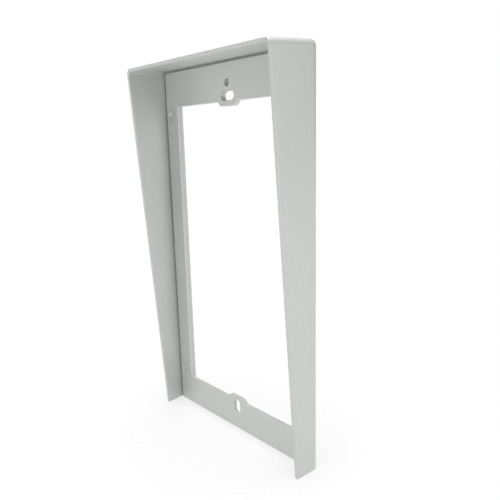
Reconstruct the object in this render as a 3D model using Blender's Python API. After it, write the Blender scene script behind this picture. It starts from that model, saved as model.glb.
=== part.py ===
"""Rain hood and surface frame for a wall-mounted video doorbell.

One bent sheet makes the hood: a canopy and two tapered wings, with lips turned inward
along their rear edges. A flat plate sits between the wings, in front of the lips, and four
flush rivets hold it there. The doorbell is screwed to the plate, and the plate to the wall.

Metres, +Z up, +X to the right as seen from the front, +Y towards the wall. The origin is on
the wall, on the centre line, at mid-height of the canopy's lip. Below, a "height" is measured
up from the wings' foot, and a "depth" forward from the wall.
"""
import math

import bmesh
import bpy

MM = 0.001

# Hood: driving dimensions
WIDTH = 100.0 * MM              # across the outer faces of the wings
HEIGHT = 180.5 * MM             # foot to canopy top, at the wall
CANOPY_DEPTH = 24.6 * MM        # wall to the canopy's front edge
FOOT_DEPTH = 12.8 * MM          # wall to the wings' front edge, at the foot
CANOPY_FALL = 1.8 * MM          # drop of the canopy from the wall to its front edge
WING_LEAN = 1.3 * MM            # how far each wing leans inward, rear to front, at the canopy
SHEET = 1.5 * MM
CORNER_RADIUS = 2.8 * MM        # outside, of the bends between canopy and wings
REAR_RADIUS = 2.5 * MM          # outside, of the bends between those and their lips
WING_LIP = 11.5 * MM            # wing's outer face to its lip's free edge
ORIGIN_DROP = 8.2 * MM          # canopy's top to the origin, on its lip
MITRE_WIDTH = 1.0 * MM          # slit between the lips, in each top corner
RELIEF_RADIUS = 1.0 * MM        # hole at the end of each slit
RELIEF_INSET = 4.5 * MM         # its centre, from the faces on both sides of the corner
LIP_TAB_INSET = 1.0 * MM        # the lip's tab is this much narrower than the plate's, each side

# Plate: driving dimensions
GAP = 0.3 * MM                  # between pieces that lie on each other
PLATE_SHEET = 1.5 * MM
PLATE_SIDE_GAP = 0.8 * MM       # to the inner face of each wing
PLATE_TOP = 177.8 * MM
PLATE_TOP_RADIUS = 1.5 * MM
PLATE_FOOT_RADIUS = 0.6 * MM
OPENING_FOOT = 15.1 * MM
OPENING_TOP = 161.2 * MM
OPENING_RADIUS = 0.4 * MM
TAB_ROOT = 13.6 * MM            # width where a tab leaves the plate
TAB_TIP = 9.3 * MM
TAB_REACH = 2.1 * MM
TAB_RADIUS = 0.6 * MM
UPPER_SLOT = (9.0 * MM, 4.2 * MM)       # width and height, as for the lower slot
UPPER_SLOT_HEIGHT = 163.6 * MM
LOWER_SLOT = (4.2 * MM, 7.7 * MM)
LOWER_SLOT_HEIGHT = 11.8 * MM
PILOT_RADIUS = 1.6 * MM
PILOT_HEIGHT = 169.2 * MM

# Rivets: driving dimensions
RIVET_X = 44.0 * MM
RIVET_HEIGHTS = {"lower": 19.6 * MM, "upper": 157.2 * MM}
SHANK_RADIUS = 1.5 * MM
HEAD_RADIUS = 2.4 * MM
TAIL_RADIUS = 2.2 * MM
HEAD_RECESS = 0.15 * MM         # the head's rim lies this far under the plate's face
TAIL_RECESS = 0.05 * MM
DISH_RADIUS = 1.3 * MM          # hollow in the head
DISH_FLOOR_RADIUS = 0.6 * MM
DISH_DEPTH = 0.2 * MM
RIVET_CLEARANCE = 0.4 * MM      # all round, for the shank and both cones

# Facets
CORNER_STEPS = 8
REAR_STEPS = 5
FILLET_STEPS = 4
HALF_TURN_STEPS = 12
TURN_STEPS = 2 * HALF_TURN_STEPS
SHARP_ANGLE = math.radians(32)

# Worked out from the above
ORIGIN_HEIGHT = HEIGHT - ORIGIN_DROP
FALL = CANOPY_FALL / CANOPY_DEPTH
LEAN = WING_LEAN / (CANOPY_DEPTH - REAR_RADIUS)
TAPER = (CANOPY_DEPTH - FOOT_DEPTH) / (HEIGHT - CANOPY_FALL)
OPENING_HALF = WIDTH / 2 - WING_LIP
PLATE_HALF = WIDTH / 2 - SHEET - PLATE_SIDE_GAP
PLATE_BACK = SHEET + GAP
PLATE_FRONT = PLATE_BACK + PLATE_SHEET
HEAD_FACE = PLATE_FRONT - HEAD_RECESS
HEAD_BASE = HEAD_FACE - (HEAD_RADIUS - SHANK_RADIUS)      # both cones are 90 degrees wide
TAIL_BASE = TAIL_RECESS + (TAIL_RADIUS - SHANK_RADIUS)
CUT_PAST = SHEET / 2            # how far a cutter runs past a face


# ---- Helpers -----------------------------------------------------------------------------

def clear_scene():
    for obj in list(bpy.data.objects):
        bpy.data.objects.remove(obj, do_unlink=True)


def paint(name, colour, roughness):
    material = bpy.data.materials.new(name)
    material.use_nodes = True
    shader = material.node_tree.nodes["Principled BSDF"]
    shader.inputs["Base Color"].default_value = (*colour, 1.0)
    shader.inputs["Roughness"].default_value = roughness
    shader.inputs["Metallic"].default_value = 0.0
    return material


def at(x, depth, height):
    """World coordinates of a place on the part."""
    return (x, -depth, height - ORIGIN_HEIGHT)


def add_object(name, shape, material=None):
    """Turns a bmesh into a named object whose faces point out."""
    bmesh.ops.recalc_face_normals(shape, faces=shape.faces)
    mesh = bpy.data.meshes.new(name)
    shape.to_mesh(mesh)
    shape.free()
    mesh.shade_smooth()
    mesh.set_sharp_from_angle(angle=SHARP_ANGLE)
    if material:
        mesh.materials.append(material)
    obj = bpy.data.objects.new(name, mesh)
    bpy.context.scene.collection.objects.link(obj)
    return obj


def cut(target, shape):
    """Cuts a bmesh of closed solids out of the target."""
    cutter = add_object(target.name + "_cutter", shape)
    cutter.hide_render = True
    cutter.display_type = "WIRE"
    modifier = target.modifiers.new("cut", "BOOLEAN")
    modifier.operation = "DIFFERENCE"
    modifier.solver = "EXACT"
    modifier.object = cutter


def arc(centre, radius, start, end, steps):
    """Points on an arc between two angles in degrees, both ends included."""
    angles = [math.radians(start + (end - start) * step / steps) for step in range(steps + 1)]
    return [(centre[0] + radius * math.cos(a), centre[1] + radius * math.sin(a)) for a in angles]


def heading(x, y):
    """A direction's angle in degrees."""
    return math.degrees(math.atan2(y, x))


def rounded(corners):
    """An outline from corners (x, height, radius), each rounded with its own radius."""
    outline = []
    for index, (x, height, radius) in enumerate(corners):
        ends = []
        for other in (corners[index - 1], corners[(index + 1) % len(corners)]):
            span = math.dist(other[:2], (x, height))
            ends.append(((other[0] - x) / span, (other[1] - height) / span))
        (ax, ay), (bx, by) = ends
        half = math.acos(ax * bx + ay * by) / 2
        to_centre = radius / math.sin(half) / math.hypot(ax + bx, ay + by)
        to_tangent = radius / math.tan(half)
        centre = (x + (ax + bx) * to_centre, height + (ay + by) * to_centre)
        start, end = (heading(x + dx * to_tangent - centre[0], height + dy * to_tangent - centre[1])
                      for dx, dy in ends)
        turn = (end - start + 180.0) % 360.0 - 180.0
        outline += arc(centre, radius, start, start + turn, FILLET_STEPS)
    return outline


def slot(size, height):
    """Outline of a slot with round ends, on the centre line."""
    radius = min(size) / 2
    across, up = size[0] / 2 - radius, size[1] / 2 - radius
    first = 0 if up else -90
    return (arc((across, height + up), radius, first, first + 180, HALF_TURN_STEPS)
            + arc((-across, height - up), radius, first + 180, first + 360, HALF_TURN_STEPS))


def prism(shape, outline, near, far):
    """Extrudes an outline of (x, height) between two depths."""
    back = [shape.verts.new(at(x, near, height)) for x, height in outline]
    front = [shape.verts.new(at(x, far, height)) for x, height in outline]
    shape.faces.new(back)
    shape.faces.new(front)
    for index in range(len(outline)):
        shape.faces.new((back[index - 1], back[index], front[index], front[index - 1]))


def turned(shape, profile, x, height):
    """Turns a profile of (radius, depth) about the axis through (x, height), with flat ends."""
    rings = []
    for radius, depth in profile:
        circle = arc((x, height), radius, 0, 360, TURN_STEPS)[:-1]
        rings.append([shape.verts.new(at(edge_x, depth, edge_height))
                      for edge_x, edge_height in circle])
    for near, far in zip(rings, rings[1:]):
        for index in range(TURN_STEPS):
            shape.faces.new((near[index - 1], near[index], far[index], far[index - 1]))
    shape.faces.new(rings[0])
    shape.faces.new(rings[-1])


# ---- hood_shell --------------------------------------------------------------------------

def hood_stations():
    """Places along the hood's outer face, from the right foot over the canopy to the left foot.

    Each is (x, height, outward x, outward z, fall, lean): the canopy and its corners fall
    forward, and each wing leans inward with the corner above it.
    """
    stations = [(WIDTH / 2, 0.0, 1.0, 0.0, 0.0, LEAN)]
    for side, start in ((1, 0), (-1, 90)):
        centre_x = side * (WIDTH / 2 - CORNER_RADIUS)
        for out_x, out_z in arc((0, 0), 1, start, start + 90, CORNER_STEPS):
            stations.append((centre_x + out_x * CORNER_RADIUS,
                             HEIGHT - CORNER_RADIUS * (1 - out_z), out_x, out_z, FALL,
                             side * LEAN))
    stations.append((-WIDTH / 2, 0.0, -1.0, 0.0, 0.0, -LEAN))
    return stations


def hood_section(front):
    """The sheet's section as (inset, depth): out along the outer face and back along the inner."""
    centre = (REAR_RADIUS, REAR_RADIUS)
    outer = arc(centre, REAR_RADIUS, 270, 180, REAR_STEPS)
    inner = arc(centre, REAR_RADIUS - SHEET, 180, 270, REAR_STEPS)
    return outer + [(0.0, front), (SHEET, front)] + inner


def lip_edge():
    """The lips' free edge as (x, height), from foot to foot.

    It follows the plate's opening and its upper tab, with a mitre slit in each top corner.
    """
    mouth_x = OPENING_HALF - MITRE_WIDTH / 2
    relief = (WIDTH / 2 - RELIEF_INSET, HEIGHT - RELIEF_INSET)
    slope = heading(relief[0] - mouth_x, relief[1] - OPENING_TOP)
    spread = math.degrees(math.asin(MITRE_WIDTH / 2 / RELIEF_RADIUS))
    half = ([(OPENING_HALF, 0.0), (OPENING_HALF, OPENING_TOP)]
            + arc(relief, RELIEF_RADIUS, slope - 180 + spread, slope + 180 - spread, HALF_TURN_STEPS)
            + [(OPENING_HALF - MITRE_WIDTH, OPENING_TOP), (TAB_ROOT / 2 - LIP_TAB_INSET, OPENING_TOP),
               (TAB_TIP / 2 - LIP_TAB_INSET, OPENING_TOP - TAB_REACH)])
    return half + [(-x, height) for x, height in reversed(half)]


def lip_hole_profile():
    """A lip's countersunk rivet hole, past both faces."""
    radius = SHANK_RADIUS + RIVET_CLEARANCE
    return [(radius, SHEET + CUT_PAST), (radius, TAIL_BASE),
            (radius + TAIL_BASE + CUT_PAST, -CUT_PAST)]


def make_hood_shell(material):
    shape = bmesh.new()
    rings = []
    for x, height, out_x, out_z, fall, lean in hood_stations():
        front = (FOOT_DEPTH + TAPER * height) / (1 + TAPER * fall)
        rings.append([
            shape.verts.new(at(x - out_x * inset - lean * (depth - REAR_RADIUS), depth,
                               height - out_z * inset - fall * depth))
            for inset, depth in hood_section(front)])
    for ring, following in zip(rings, rings[1:]):
        for index in range(1, len(ring)):
            shape.faces.new((ring[index - 1], ring[index], following[index], following[index - 1]))

    back, front = ([shape.verts.new(at(x, depth, height)) for x, height in lip_edge()]
                   for depth in (0.0, SHEET))
    for index in range(1, len(back)):
        shape.faces.new((back[index - 1], back[index], front[index], front[index - 1]))
    shape.faces.new([ring[0] for ring in rings] + back[::-1])
    shape.faces.new([ring[-1] for ring in rings] + front[::-1])
    shape.faces.new(rings[0] + [front[0], back[0]])
    shape.faces.new(rings[-1] + [front[-1], back[-1]])
    hood = add_object("hood_shell", shape, material)

    holes = bmesh.new()
    for _, x, height in rivets():
        turned(holes, lip_hole_profile(), x, height)
    prism(holes, slot(UPPER_SLOT, UPPER_SLOT_HEIGHT), -CUT_PAST, SHEET + CUT_PAST)
    cut(hood, holes)


# ---- mounting_plate ----------------------------------------------------------------------

def plate_outline():
    return rounded([(PLATE_HALF, 0.0, PLATE_FOOT_RADIUS), (PLATE_HALF, PLATE_TOP, PLATE_TOP_RADIUS),
                    (-PLATE_HALF, PLATE_TOP, PLATE_TOP_RADIUS), (-PLATE_HALF, 0.0, PLATE_FOOT_RADIUS)])


def opening_outline():
    """The tall opening, with a tab that stands into it at the foot and at the top."""
    outline = []
    for edge, reach, side in ((OPENING_FOOT, TAB_REACH, 1), (OPENING_TOP, -TAB_REACH, -1)):
        outline += [(-side * OPENING_HALF, edge, OPENING_RADIUS),
                    (-side * TAB_ROOT / 2, edge, TAB_RADIUS),
                    (-side * TAB_TIP / 2, edge + reach, TAB_RADIUS),
                    (side * TAB_TIP / 2, edge + reach, TAB_RADIUS),
                    (side * TAB_ROOT / 2, edge, TAB_RADIUS),
                    (side * OPENING_HALF, edge, OPENING_RADIUS)]
    return rounded(outline)


def plate_hole_profile():
    """The plate's countersunk rivet hole, past both faces."""
    radius = SHANK_RADIUS + RIVET_CLEARANCE
    mouth = PLATE_FRONT + CUT_PAST
    return [(radius + mouth - HEAD_BASE, mouth), (radius, HEAD_BASE), (radius, PLATE_BACK - CUT_PAST)]


def make_mounting_plate(material):
    shape = bmesh.new()
    prism(shape, plate_outline(), PLATE_BACK, PLATE_FRONT)
    plate = add_object("mounting_plate", shape, material)

    holes = bmesh.new()
    pilot = arc((0, PILOT_HEIGHT), PILOT_RADIUS, 0, 360, TURN_STEPS)[:-1]
    for outline in (opening_outline(), slot(UPPER_SLOT, UPPER_SLOT_HEIGHT),
                    slot(LOWER_SLOT, LOWER_SLOT_HEIGHT), pilot):
        prism(holes, outline, PLATE_BACK - CUT_PAST, PLATE_FRONT + CUT_PAST)
    for _, x, height in rivets():
        turned(holes, plate_hole_profile(), x, height)
    cut(plate, holes)


# ---- rivets ------------------------------------------------------------------------------

def rivets():
    """The name, x and height of each rivet."""
    return [(f"rivet_{level}_{side}", sign * RIVET_X, height)
            for level, height in RIVET_HEIGHTS.items()
            for side, sign in (("left", -1), ("right", 1))]


def rivet_profile():
    """From the dish in the head, under the plate's face, to the flush tail at the wall."""
    return [(DISH_FLOOR_RADIUS, HEAD_FACE - DISH_DEPTH), (DISH_RADIUS, HEAD_FACE),
            (HEAD_RADIUS, HEAD_FACE), (SHANK_RADIUS, HEAD_BASE),
            (SHANK_RADIUS, TAIL_BASE), (TAIL_RADIUS, TAIL_RECESS)]


def make_rivets(material):
    for name, x, height in rivets():
        shape = bmesh.new()
        turned(shape, rivet_profile(), x, height)
        add_object(name, shape, material)


def main():
    clear_scene()
    make_hood_shell(paint("hood_paint", (0.60, 0.615, 0.60), 0.42))
    make_mounting_plate(paint("plate_paint", (0.58, 0.595, 0.58), 0.42))
    make_rivets(paint("rivet_paint", (0.56, 0.575, 0.56), 0.40))


main()
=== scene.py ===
"""The looks of the video doorbell's rain hood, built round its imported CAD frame.

Each CAD node is replaced by a finer mesh: smoother bends, and cut edges rounded as powder
coat rounds them. Two sizes differ from the CAD's: the plate's back comes down onto the lips,
where the CAD leaves a gap, and the hollow in each rivet's head is wider and deeper. Metres,
in the frame's own axes. A "height" is measured up from the wings' foot, and a "depth"
forward from the wall.
"""
import math

import bmesh
import bpy
from mathutils import Matrix, Vector


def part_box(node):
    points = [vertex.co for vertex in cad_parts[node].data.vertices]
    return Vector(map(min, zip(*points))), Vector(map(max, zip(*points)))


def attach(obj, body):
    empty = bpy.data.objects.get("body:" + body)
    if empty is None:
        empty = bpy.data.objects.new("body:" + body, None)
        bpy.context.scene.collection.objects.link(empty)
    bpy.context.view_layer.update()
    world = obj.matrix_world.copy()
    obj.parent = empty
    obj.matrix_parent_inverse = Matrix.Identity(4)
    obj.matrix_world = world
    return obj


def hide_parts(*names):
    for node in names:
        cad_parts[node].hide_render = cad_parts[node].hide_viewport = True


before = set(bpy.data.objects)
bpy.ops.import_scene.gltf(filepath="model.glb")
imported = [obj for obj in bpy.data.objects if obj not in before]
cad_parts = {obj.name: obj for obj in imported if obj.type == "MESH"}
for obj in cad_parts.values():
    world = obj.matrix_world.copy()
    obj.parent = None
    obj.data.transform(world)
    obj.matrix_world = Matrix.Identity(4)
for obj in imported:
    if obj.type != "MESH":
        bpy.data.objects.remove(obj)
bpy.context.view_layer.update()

MM = 0.001

# Sizes that the frame gives
HOOD_LOW, HOOD_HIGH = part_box("hood_shell")
PLATE_LOW, PLATE_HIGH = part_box("mounting_plate")
WALL_Y = HOOD_HIGH.y
FOOT_Z = HOOD_LOW.z
WIDTH = HOOD_HIGH.x - HOOD_LOW.x
CANOPY_DEPTH = WALL_Y - HOOD_LOW.y
PLATE_FRONT = WALL_Y - PLATE_LOW.y
PLATE_TOP = PLATE_HIGH.z - FOOT_Z

# Sizes that its boxes don't show, as in the CAD
SHEET = 1.5 * MM
REAR_RADIUS = 2.5 * MM
CORNER_RADIUS = 2.8 * MM
CANOPY_FALL = 1.8 * MM
WING_LEAN = 1.3 * MM
FOOT_DEPTH = 12.8 * MM
WING_LIP = 11.5 * MM
MITRE_WIDTH = 1.0 * MM
RELIEF_RADIUS = 1.0 * MM
RELIEF_INSET = 4.5 * MM
LIP_TAB_INSET = 1.0 * MM
PLATE_TOP_RADIUS = 1.5 * MM
PLATE_FOOT_RADIUS = 0.6 * MM
OPENING_FOOT = 15.1 * MM
OPENING_TOP = 161.2 * MM
OPENING_RADIUS = 0.4 * MM
TAB_ROOT = 13.6 * MM
TAB_TIP = 9.3 * MM
TAB_REACH = 2.1 * MM
TAB_RADIUS = 0.6 * MM
UPPER_SLOT = (9.0 * MM, 4.2 * MM)
UPPER_SLOT_HEIGHT = 163.6 * MM
LOWER_SLOT = (4.2 * MM, 7.7 * MM)
LOWER_SLOT_HEIGHT = 11.8 * MM
PILOT_RADIUS = 1.6 * MM
PILOT_HEIGHT = 169.2 * MM

# Sizes of the finish
EDGE = 0.2 * MM                 # radius that the paint gives a cut edge
EDGE_STEPS = 4
SEAM = 0.12 * MM                # groove that the paint leaves round a rivet
CONTACT = 0.03 * MM             # between the painted plate and the lips it lies on
CREVICE_REACH = 0.9 * MM        # narrower than this, a gap gets painted shade
CREVICE_SHADE = 0.3             # share of the paint's colour that the painted shade leaves there
PAINT_COLOUR = (0.60, 0.615, 0.60)

# Sizes of the rivets, measured in from the head's radius or back from its face
RIVET_RIM = 0.18 * MM           # radius of the edges of the head and the tail
SHANK_INSET = 0.9 * MM
TAIL_INSET = 0.2 * MM
DISH_INSET = 0.55 * MM
DISH_DEPTH = 0.6 * MM
DISH_SHARPNESS = 2.5            # above 2 the dish is flatter in the middle than a bowl
DISH_RINGS = (0.2, 0.4, 0.55, 0.7, 0.8, 0.9, 1.0)       # shares of its radius
HEAD_HEIGHT = 0.5 * MM          # of the head's straight side
HEAD_BASE = 1.4 * MM
TAIL_BASE = 0.9 * MM            # up from the wall
TAIL_HEIGHT = 0.45 * MM

# Facets
CORNER_STEPS = 32
REAR_STEPS = 16
FILLET_STEPS = 8
HALF_TURN_STEPS = 32
RIVET_STEPS = 96

# Worked out from the above
FALL = CANOPY_FALL / CANOPY_DEPTH
LEAN = WING_LEAN / (CANOPY_DEPTH - REAR_RADIUS)
HEIGHT = HOOD_HIGH.z - FOOT_Z + FALL * REAR_RADIUS
TAPER = (CANOPY_DEPTH - FOOT_DEPTH) / (HEIGHT - CANOPY_FALL)
OPENING_HALF = WIDTH / 2 - WING_LIP


# ---- Outlines ----------------------------------------------------------------------------

def at(x, depth, height):
    """Frame coordinates of a place on the part."""
    return (x, WALL_Y - depth, FOOT_Z + height)


def arc(centre, radius, start, end, steps):
    """Points on an arc between two angles in degrees, both ends included."""
    angles = [math.radians(start + (end - start) * step / steps) for step in range(steps + 1)]
    return [(centre[0] + radius * math.cos(a), centre[1] + radius * math.sin(a)) for a in angles]


def heading(x, y):
    """A direction's angle in degrees."""
    return math.degrees(math.atan2(y, x))


def rounded(corners):
    """An outline from corners (x, height, radius), each rounded with its own radius."""
    outline = []
    for index, (x, height, radius) in enumerate(corners):
        ends = []
        for other in (corners[index - 1], corners[(index + 1) % len(corners)]):
            span = math.dist(other[:2], (x, height))
            ends.append(((other[0] - x) / span, (other[1] - height) / span))
        (ax, ay), (bx, by) = ends
        half = math.acos(ax * bx + ay * by) / 2
        to_centre = radius / math.sin(half) / math.hypot(ax + bx, ay + by)
        to_tangent = radius / math.tan(half)
        centre = (x + (ax + bx) * to_centre, height + (ay + by) * to_centre)
        start, end = (heading(x + dx * to_tangent - centre[0], height + dy * to_tangent - centre[1])
                      for dx, dy in ends)
        turn = (end - start + 180.0) % 360.0 - 180.0
        outline += arc(centre, radius, start, start + turn, FILLET_STEPS)
    return outline


def slot(size, height):
    """Outline of a slot with round ends, on the centre line."""
    radius = min(size) / 2
    across, up = size[0] / 2 - radius, size[1] / 2 - radius
    first = 0 if up else -90
    return (arc((across, height + up), radius, first, first + 180, HALF_TURN_STEPS)
            + arc((-across, height - up), radius, first + 180, first + 360, HALF_TURN_STEPS))


def circle(x, height, radius):
    return arc((x, height), radius, 0, 360, 2 * HALF_TURN_STEPS)[:-1]


# ---- Pieces ------------------------------------------------------------------------------

def link(name, data):
    obj = bpy.data.objects.new(name, data)
    bpy.context.scene.collection.objects.link(obj)
    return obj


def add_shape(name, shape):
    """An object from a bmesh, which is freed."""
    mesh = bpy.data.meshes.new(name)
    shape.to_mesh(mesh)
    shape.free()
    return link(name, mesh)


def evaluated_mesh(obj, name):
    """The object's mesh with its curves and modifiers worked out, as a mesh of its own."""
    depsgraph = bpy.context.evaluated_depsgraph_get()
    mesh = bpy.data.meshes.new_from_object(obj.evaluated_get(depsgraph), depsgraph=depsgraph)
    mesh.name = name
    return mesh


def add_piece(name, mesh, node, material):
    """A finished piece that stands for a CAD node."""
    mesh.materials.clear()
    mesh.materials.append(material)
    piece = link(name, mesh)
    weighted = piece.modifiers.new("even_shading", "WEIGHTED_NORMAL")
    weighted.keep_sharp = True
    mesh.shade_smooth()
    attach(piece, "root")
    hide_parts(node)
    return piece


def rivets():
    """Each rivet's node, axis x, axis height and largest radius."""
    found = []
    for level in ("upper", "lower"):
        for side in ("left", "right"):
            node = f"rivet_{level}_{side}"
            low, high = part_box(node)
            found.append((node, (low.x + high.x) / 2, (low.z + high.z) / 2 - FOOT_Z,
                          (high.x - low.x) / 2))
    return found


def turned(profile, x, height, steps=RIVET_STEPS):
    """A closed bmesh turned from (radius, depth) points; a radius of 0 closes an end."""
    shape = bmesh.new()
    rings = []
    for radius, depth in profile:
        if radius == 0:
            rings.append([shape.verts.new(at(x, depth, height))])
        else:
            edge = arc((x, height), radius, 0, 360, steps)[:-1]
            rings.append([shape.verts.new(at(px, depth, pz)) for px, pz in edge])
    for near, far in zip(rings, rings[1:]):
        for index in range(steps):
            corners = [near[(index - 1) % len(near)], near[index % len(near)],
                       far[index % len(far)], far[(index - 1) % len(far)]]
            shape.faces.new(list(dict.fromkeys(corners)))
    bmesh.ops.recalc_face_normals(shape, faces=shape.faces)
    return shape


# ---- Hood --------------------------------------------------------------------------------

def hood_stations():
    """Places round the outer face: (x, height, outward x, outward z, fall, lean), foot to foot."""
    stations = [(WIDTH / 2, 0.0, 1.0, 0.0, 0.0, LEAN)]
    for side, start in ((1, 0), (-1, 90)):
        centre_x = side * (WIDTH / 2 - CORNER_RADIUS)
        for out_x, out_z in arc((0, 0), 1, start, start + 90, CORNER_STEPS):
            stations.append((centre_x + out_x * CORNER_RADIUS,
                             HEIGHT - CORNER_RADIUS * (1 - out_z), out_x, out_z, FALL,
                             side * LEAN))
    stations.append((-WIDTH / 2, 0.0, -1.0, 0.0, 0.0, -LEAN))
    return stations


def hood_section(front):
    """The sheet's section as (inset, depth): out along the outer face, back along the inner."""
    centre = (REAR_RADIUS, REAR_RADIUS)
    outer = arc(centre, REAR_RADIUS, 270, 180, REAR_STEPS)
    inner = arc(centre, REAR_RADIUS - SHEET, 180, 270, REAR_STEPS)
    return outer + [(0.0, front), (SHEET, front)] + inner


def lip_edge():
    """The lips' free edge as (x, height), foot to foot, with a mitre slit in each top corner."""
    mouth_x = OPENING_HALF - MITRE_WIDTH / 2
    relief = (WIDTH / 2 - RELIEF_INSET, HEIGHT - RELIEF_INSET)
    slope = heading(relief[0] - mouth_x, relief[1] - OPENING_TOP)
    spread = math.degrees(math.asin(MITRE_WIDTH / 2 / RELIEF_RADIUS))
    half = ([(OPENING_HALF, 0.0), (OPENING_HALF, OPENING_TOP)]
            + arc(relief, RELIEF_RADIUS, slope - 180 + spread, slope + 180 - spread, HALF_TURN_STEPS)
            + [(OPENING_HALF - MITRE_WIDTH, OPENING_TOP), (TAB_ROOT / 2 - LIP_TAB_INSET, OPENING_TOP),
               (TAB_TIP / 2 - LIP_TAB_INSET, OPENING_TOP - TAB_REACH)])
    return half + [(-x, height) for x, height in reversed(half)]


def sharp_hood():
    """The bent sheet with square cut edges."""
    shape = bmesh.new()
    rings = []
    for x, height, out_x, out_z, fall, lean in hood_stations():
        front = (FOOT_DEPTH + TAPER * height) / (1 + TAPER * fall)
        rings.append([
            shape.verts.new(at(x - out_x * inset - lean * (depth - REAR_RADIUS), depth,
                               height - out_z * inset - fall * depth))
            for inset, depth in hood_section(front)])
    for ring, following in zip(rings, rings[1:]):
        for index in range(1, len(ring)):
            shape.faces.new((ring[index - 1], ring[index], following[index], following[index - 1]))

    back, front = ([shape.verts.new(at(x, depth, height)) for x, height in lip_edge()]
                   for depth in (0.0, SHEET))
    for index in range(1, len(back)):
        shape.faces.new((back[index - 1], back[index], front[index], front[index - 1]))
    shape.faces.new([ring[0] for ring in rings] + back[::-1])
    shape.faces.new([ring[-1] for ring in rings] + front[::-1])
    shape.faces.new(rings[0] + [front[0], back[0]])
    shape.faces.new(rings[-1] + [front[-1], back[-1]])
    bmesh.ops.recalc_face_normals(shape, faces=shape.faces)
    return shape


def slot_cutter():
    """A closed prism through the canopy's lip, behind the plate's upper slot."""
    shape = bmesh.new()
    outline = slot(UPPER_SLOT, UPPER_SLOT_HEIGHT)
    back, front = ([shape.verts.new(at(x, depth, height)) for x, height in outline]
                   for depth in (-SHEET, 2 * SHEET))
    shape.faces.new(back)
    shape.faces.new(front)
    for index in range(len(outline)):
        shape.faces.new((back[index - 1], back[index], front[index], front[index - 1]))
    bmesh.ops.recalc_face_normals(shape, faces=shape.faces)
    return shape


def flared_hole(radius, near, far):
    """A cutter's (radius, depth) profile for a hole whose rims are rounded at both depths."""
    rim = arc((0, 0), EDGE, 180, 90, EDGE_STEPS)
    past = 2 * EDGE
    top = [(radius + EDGE + x, near + EDGE - y) for x, y in rim]
    bottom = [(radius + EDGE + x, far - EDGE + y) for x, y in rim]
    return ([(0, near - past), (radius + EDGE, near - past)] + top[::-1]
            + bottom + [(radius + EDGE, far + past), (0, far + past)])


def cut(draft, cutter):
    modifier = draft.modifiers.new(cutter.name, "BOOLEAN")
    modifier.operation = "DIFFERENCE"
    modifier.solver = "EXACT"
    modifier.object = cutter


def make_hood(material):
    draft = add_shape("hood_draft", sharp_hood())
    cutters = [add_shape("cutter_slot", slot_cutter())]
    cut(draft, cutters[0])
    bevel = draft.modifiers.new("edges", "BEVEL")
    bevel.width = EDGE
    bevel.segments = EDGE_STEPS
    bevel.limit_method = "ANGLE"
    bevel.angle_limit = math.radians(40)
    bevel.use_clamp_overlap = False
    for node, x, height, radius in rivets():
        hole = turned(flared_hole(radius - TAIL_INSET + SEAM, 0.0, SHEET), x, height)
        cutters.append(add_shape("cutter_" + node, hole))
        cut(draft, cutters[-1])
    finished = evaluated_mesh(draft, "hood_shell_painted")
    for spare in [draft] + cutters:
        bpy.data.objects.remove(spare, do_unlink=True)
    return add_piece("hood_shell_painted", finished, "hood_shell", material)


# ---- Plate -------------------------------------------------------------------------------

def plate_outlines():
    half = PLATE_HIGH.x
    outer = rounded([(half, 0.0, PLATE_FOOT_RADIUS), (half, PLATE_TOP, PLATE_TOP_RADIUS),
                     (-half, PLATE_TOP, PLATE_TOP_RADIUS), (-half, 0.0, PLATE_FOOT_RADIUS)])
    opening = []
    for edge, reach, side in ((OPENING_FOOT, TAB_REACH, 1), (OPENING_TOP, -TAB_REACH, -1)):
        opening += [(-side * OPENING_HALF, edge, OPENING_RADIUS),
                    (-side * TAB_ROOT / 2, edge, TAB_RADIUS),
                    (-side * TAB_TIP / 2, edge + reach, TAB_RADIUS),
                    (side * TAB_TIP / 2, edge + reach, TAB_RADIUS),
                    (side * TAB_ROOT / 2, edge, TAB_RADIUS),
                    (side * OPENING_HALF, edge, OPENING_RADIUS)]
    holes = [rounded(opening), slot(UPPER_SLOT, UPPER_SLOT_HEIGHT),
             slot(LOWER_SLOT, LOWER_SLOT_HEIGHT), circle(0, PILOT_HEIGHT, PILOT_RADIUS)]
    holes += [circle(x, height, radius + SEAM) for _, x, height, radius in rivets()]
    return [outer] + holes


def make_plate(material):
    """A filled flat curve, whose bevel rounds the rims of the plate and of all its holes."""
    curve = bpy.data.curves.new("plate_draft", "CURVE")
    curve.dimensions = "2D"
    curve.fill_mode = "BOTH"
    back = SHEET + CONTACT
    curve.extrude = (PLATE_FRONT - back) / 2 - EDGE
    curve.bevel_depth = EDGE
    curve.bevel_resolution = EDGE_STEPS
    curve.offset = -EDGE
    for outline in plate_outlines():
        spline = curve.splines.new("POLY")
        spline.points.add(len(outline) - 1)
        for point, (x, height) in zip(spline.points, outline):
            point.co = (x, height, 0.0, 1.0)
        spline.use_cyclic_u = True
    draft = link("plate_draft", curve)
    finished = evaluated_mesh(draft, "mounting_plate_painted")
    bpy.data.objects.remove(draft, do_unlink=True)
    upright = Matrix.Translation(at(0, (PLATE_FRONT + back) / 2, 0))
    finished.transform(upright @ Matrix.Rotation(math.radians(90), 4, "X"))
    shape = bmesh.new()
    shape.from_mesh(finished)
    bmesh.ops.remove_doubles(shape, verts=shape.verts, dist=0.001 * MM)
    bmesh.ops.recalc_face_normals(shape, faces=shape.faces)
    shape.to_mesh(finished)
    shape.free()
    return add_piece("mounting_plate_painted", finished, "mounting_plate", material)


# ---- Rivets ------------------------------------------------------------------------------

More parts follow.
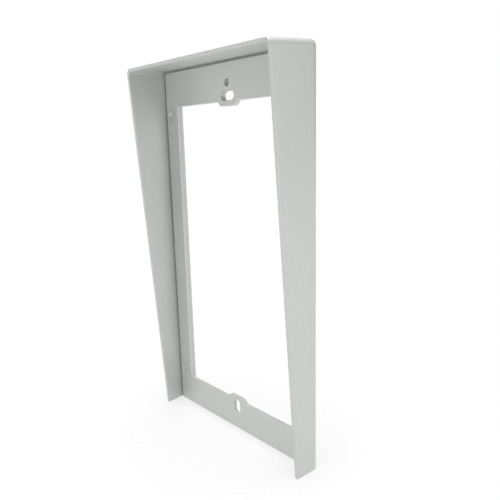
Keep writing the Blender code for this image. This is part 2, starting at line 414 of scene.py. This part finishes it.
def rivet_profile(radius, back, front):
    """A flush rivet: a dished head in the plate's face, a shank and a flush tail."""
    shank, tail, dish = radius - SHANK_INSET, radius - TAIL_INSET, radius - DISH_INSET
    points = [(0, front - DISH_DEPTH)]
    points += [(dish * share, front - DISH_DEPTH * (1 - share ** DISH_SHARPNESS))
               for share in DISH_RINGS]
    points += arc((radius - RIVET_RIM, front - RIVET_RIM), RIVET_RIM, 90, 0, EDGE_STEPS)
    points += [(radius, front - HEAD_HEIGHT), (shank, front - HEAD_BASE),
               (shank, back + TAIL_BASE), (tail, back + TAIL_HEIGHT)]
    points += arc((tail - RIVET_RIM, back + RIVET_RIM), RIVET_RIM, 0, -90, EDGE_STEPS)
    points += [(0, back)]
    return points


def make_rivets(material):
    for node, x, height, radius in rivets():
        low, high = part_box(node)
        shape = turned(rivet_profile(radius, WALL_Y - high.y, WALL_Y - low.y), x, height)
        mesh = bpy.data.meshes.new(node + "_painted")
        shape.to_mesh(mesh)
        shape.free()
        add_piece(node + "_painted", mesh, node, material)


# ---- Paint -------------------------------------------------------------------------------

def powder_coat(name, colour, roughness):
    """Satin silver-grey powder coat: orange peel, fine speckle, uneven gloss, and shade painted into
    crevices.
    """
    material = bpy.data.materials.new(name)
    material.use_nodes = True
    nodes, links = material.node_tree.nodes, material.node_tree.links
    shader = nodes["Principled BSDF"]
    place = nodes.new("ShaderNodeTexCoord").outputs["Object"]

    def noise(scale, detail, rough=0.5):
        texture = nodes.new("ShaderNodeTexNoise")
        texture.inputs["Scale"].default_value = scale
        texture.inputs["Detail"].default_value = detail
        texture.inputs["Roughness"].default_value = rough
        links.new(place, texture.inputs["Vector"])
        return texture.outputs["Fac"]

    def remap(value, low, high, start=0.25, end=0.75):
        spread = nodes.new("ShaderNodeMapRange")
        spread.inputs["From Min"].default_value = start
        spread.inputs["From Max"].default_value = end
        spread.inputs["To Min"].default_value = low
        spread.inputs["To Max"].default_value = high
        links.new(value, spread.inputs["Value"])
        return spread.outputs["Result"]

    def product(first, second):
        times = nodes.new("ShaderNodeMath")
        times.operation = "MULTIPLY"
        links.new(first, times.inputs[0])
        links.new(second, times.inputs[1])
        return times.outputs["Value"]

    # Painted shade: ambient occlusion darkens the paint's colour in narrow gaps, hollows and holes,
    # where shade falls
    crevice = nodes.new("ShaderNodeAmbientOcclusion")
    crevice.inputs["Distance"].default_value = CREVICE_REACH
    painted_crevice_shade = remap(crevice.outputs["AO"], CREVICE_SHADE, 1.0, start=0.05, end=0.30)

    speckle = remap(noise(5200, 2), 0.955, 1.045)
    cloud = remap(noise(38, 3), 0.985, 1.015)
    shade = nodes.new("ShaderNodeVectorMath")
    shade.operation = "SCALE"
    shade.inputs[0].default_value = colour
    links.new(product(product(speckle, cloud), painted_crevice_shade), shade.inputs["Scale"])
    links.new(shade.outputs["Vector"], shader.inputs["Base Color"])
    links.new(remap(noise(900, 3), roughness - 0.05, roughness + 0.05), shader.inputs["Roughness"])

    peel = nodes.new("ShaderNodeBump")
    peel.inputs["Distance"].default_value = 0.02 * MM
    peel.inputs["Strength"].default_value = 0.5
    links.new(noise(1100, 2), peel.inputs["Height"])
    grain = nodes.new("ShaderNodeBump")
    grain.inputs["Distance"].default_value = 0.004 * MM
    grain.inputs["Strength"].default_value = 0.5
    links.new(noise(6500, 2), grain.inputs["Height"])
    links.new(peel.outputs["Normal"], grain.inputs["Normal"])
    links.new(grain.outputs["Normal"], shader.inputs["Normal"])
    shader.inputs["Metallic"].default_value = 0.4
    shader.inputs["IOR"].default_value = 1.5
    return material


# ---- Studio ------------------------------------------------------------------------------

CAMERA_PLACE = Vector((181.46 * MM, WALL_Y - 158.84 * MM, FOOT_Z + 142.71 * MM))
CAMERA_AZIMUTH = 47.34
CAMERA_ELEVATION = 11.82
CAMERA_ROLL = -1.506
CAMERA_LENS = 36.96

# Soft lights: name, azimuth (0 in front, 90 on the right), elevation, strength
SUNS = [
    ("top_light", 0, 88, 5.0),
    ("right_light", 100, 8, 1.16),
    ("left_light", -60, 8, 0.45),
]
SUN_ANGLE = 45
SUN_DISTANCE = 2.0
PANEL_AZIMUTH, PANEL_ELEVATION = 15, 8
PANEL_SIZE = (0.22, 0.5)
PANEL_DISTANCE = 0.42
PANEL_WATTS = 0.58
FLOOR_SHADE = 0.2               # the floor's own grey
FLOOR_GLOW = 0.66               # light that the floor gives off, so that it shows white
FLOOR_HALF = 4.0
AIM = Vector((0.0, -0.01, FOOT_Z + 0.09))


def add_camera():
    data = bpy.data.cameras.new("camera")
    data.lens = CAMERA_LENS
    data.sensor_width = 36.0
    data.clip_start = 0.005
    camera = link("camera", data)
    camera.matrix_world = (
        Matrix.Translation(CAMERA_PLACE)
        @ Matrix.Rotation(math.radians(CAMERA_AZIMUTH), 4, "Z")
        @ Matrix.Rotation(math.radians(90 - CAMERA_ELEVATION), 4, "X")
        @ Matrix.Rotation(math.radians(CAMERA_ROLL), 4, "Z"))
    bpy.context.scene.camera = camera


def add_light(name, kind, azimuth, elevation, distance, energy):
    """A light on a sphere round the object, turned to face it."""
    turn, rise = math.radians(azimuth), math.radians(elevation)
    outward = Vector((math.sin(turn) * math.cos(rise), -math.cos(turn) * math.cos(rise),
                      math.sin(rise)))
    light = link(name, bpy.data.lights.new(name, kind))
    light.data.energy = energy
    light.location = AIM + outward * distance
    light.rotation_euler = outward.to_track_quat("Z", "Y").to_euler()
    light.visible_camera = False
    return light


def add_lights():
    for name, azimuth, elevation, strength in SUNS:
        sun = add_light(name, "SUN", azimuth, elevation, SUN_DISTANCE, strength)
        sun.data.angle = math.radians(SUN_ANGLE)
    panel = add_light("front_panel", "AREA", PANEL_AZIMUTH, PANEL_ELEVATION, PANEL_DISTANCE,
                      PANEL_WATTS)
    panel.data.shape = "RECTANGLE"
    panel.data.size, panel.data.size_y = PANEL_SIZE


def add_world():
    """White behind the object, which lights nothing."""
    world = bpy.data.worlds.new("studio")
    bpy.context.scene.world = world
    world.use_nodes = True
    nodes, links = world.node_tree.nodes, world.node_tree.links
    background = nodes["Background"]
    background.inputs["Color"].default_value = (1, 1, 1, 1)
    links.new(nodes.new("ShaderNodeLightPath").outputs["Is Camera Ray"], background.inputs["Strength"])


def add_floor():
    """A white table that also gives off light of its own."""
    shape = bmesh.new()
    bmesh.ops.create_grid(shape, x_segments=1, y_segments=1, size=FLOOR_HALF)
    floor = add_shape("floor", shape)
    floor.location.z = FOOT_Z
    material = bpy.data.materials.new("floor_white")
    material.use_nodes = True
    shader = material.node_tree.nodes["Principled BSDF"]
    shader.inputs["Base Color"].default_value = (FLOOR_SHADE, FLOOR_SHADE, FLOOR_SHADE, 1)
    shader.inputs["Roughness"].default_value = 0.9
    shader.inputs["Emission Color"].default_value = (1, 1, 1, 1)
    shader.inputs["Emission Strength"].default_value = FLOOR_GLOW
    floor.data.materials.append(material)


make_hood(powder_coat("hood_powder_coat", PAINT_COLOUR, 0.45))
make_plate(powder_coat("plate_powder_coat", PAINT_COLOUR, 0.45))
make_rivets(powder_coat("rivet_powder_coat", PAINT_COLOUR, 0.43))
add_camera()
add_lights()
add_world()
add_floor()
bpy.context.scene.view_settings.view_transform = "Standard"
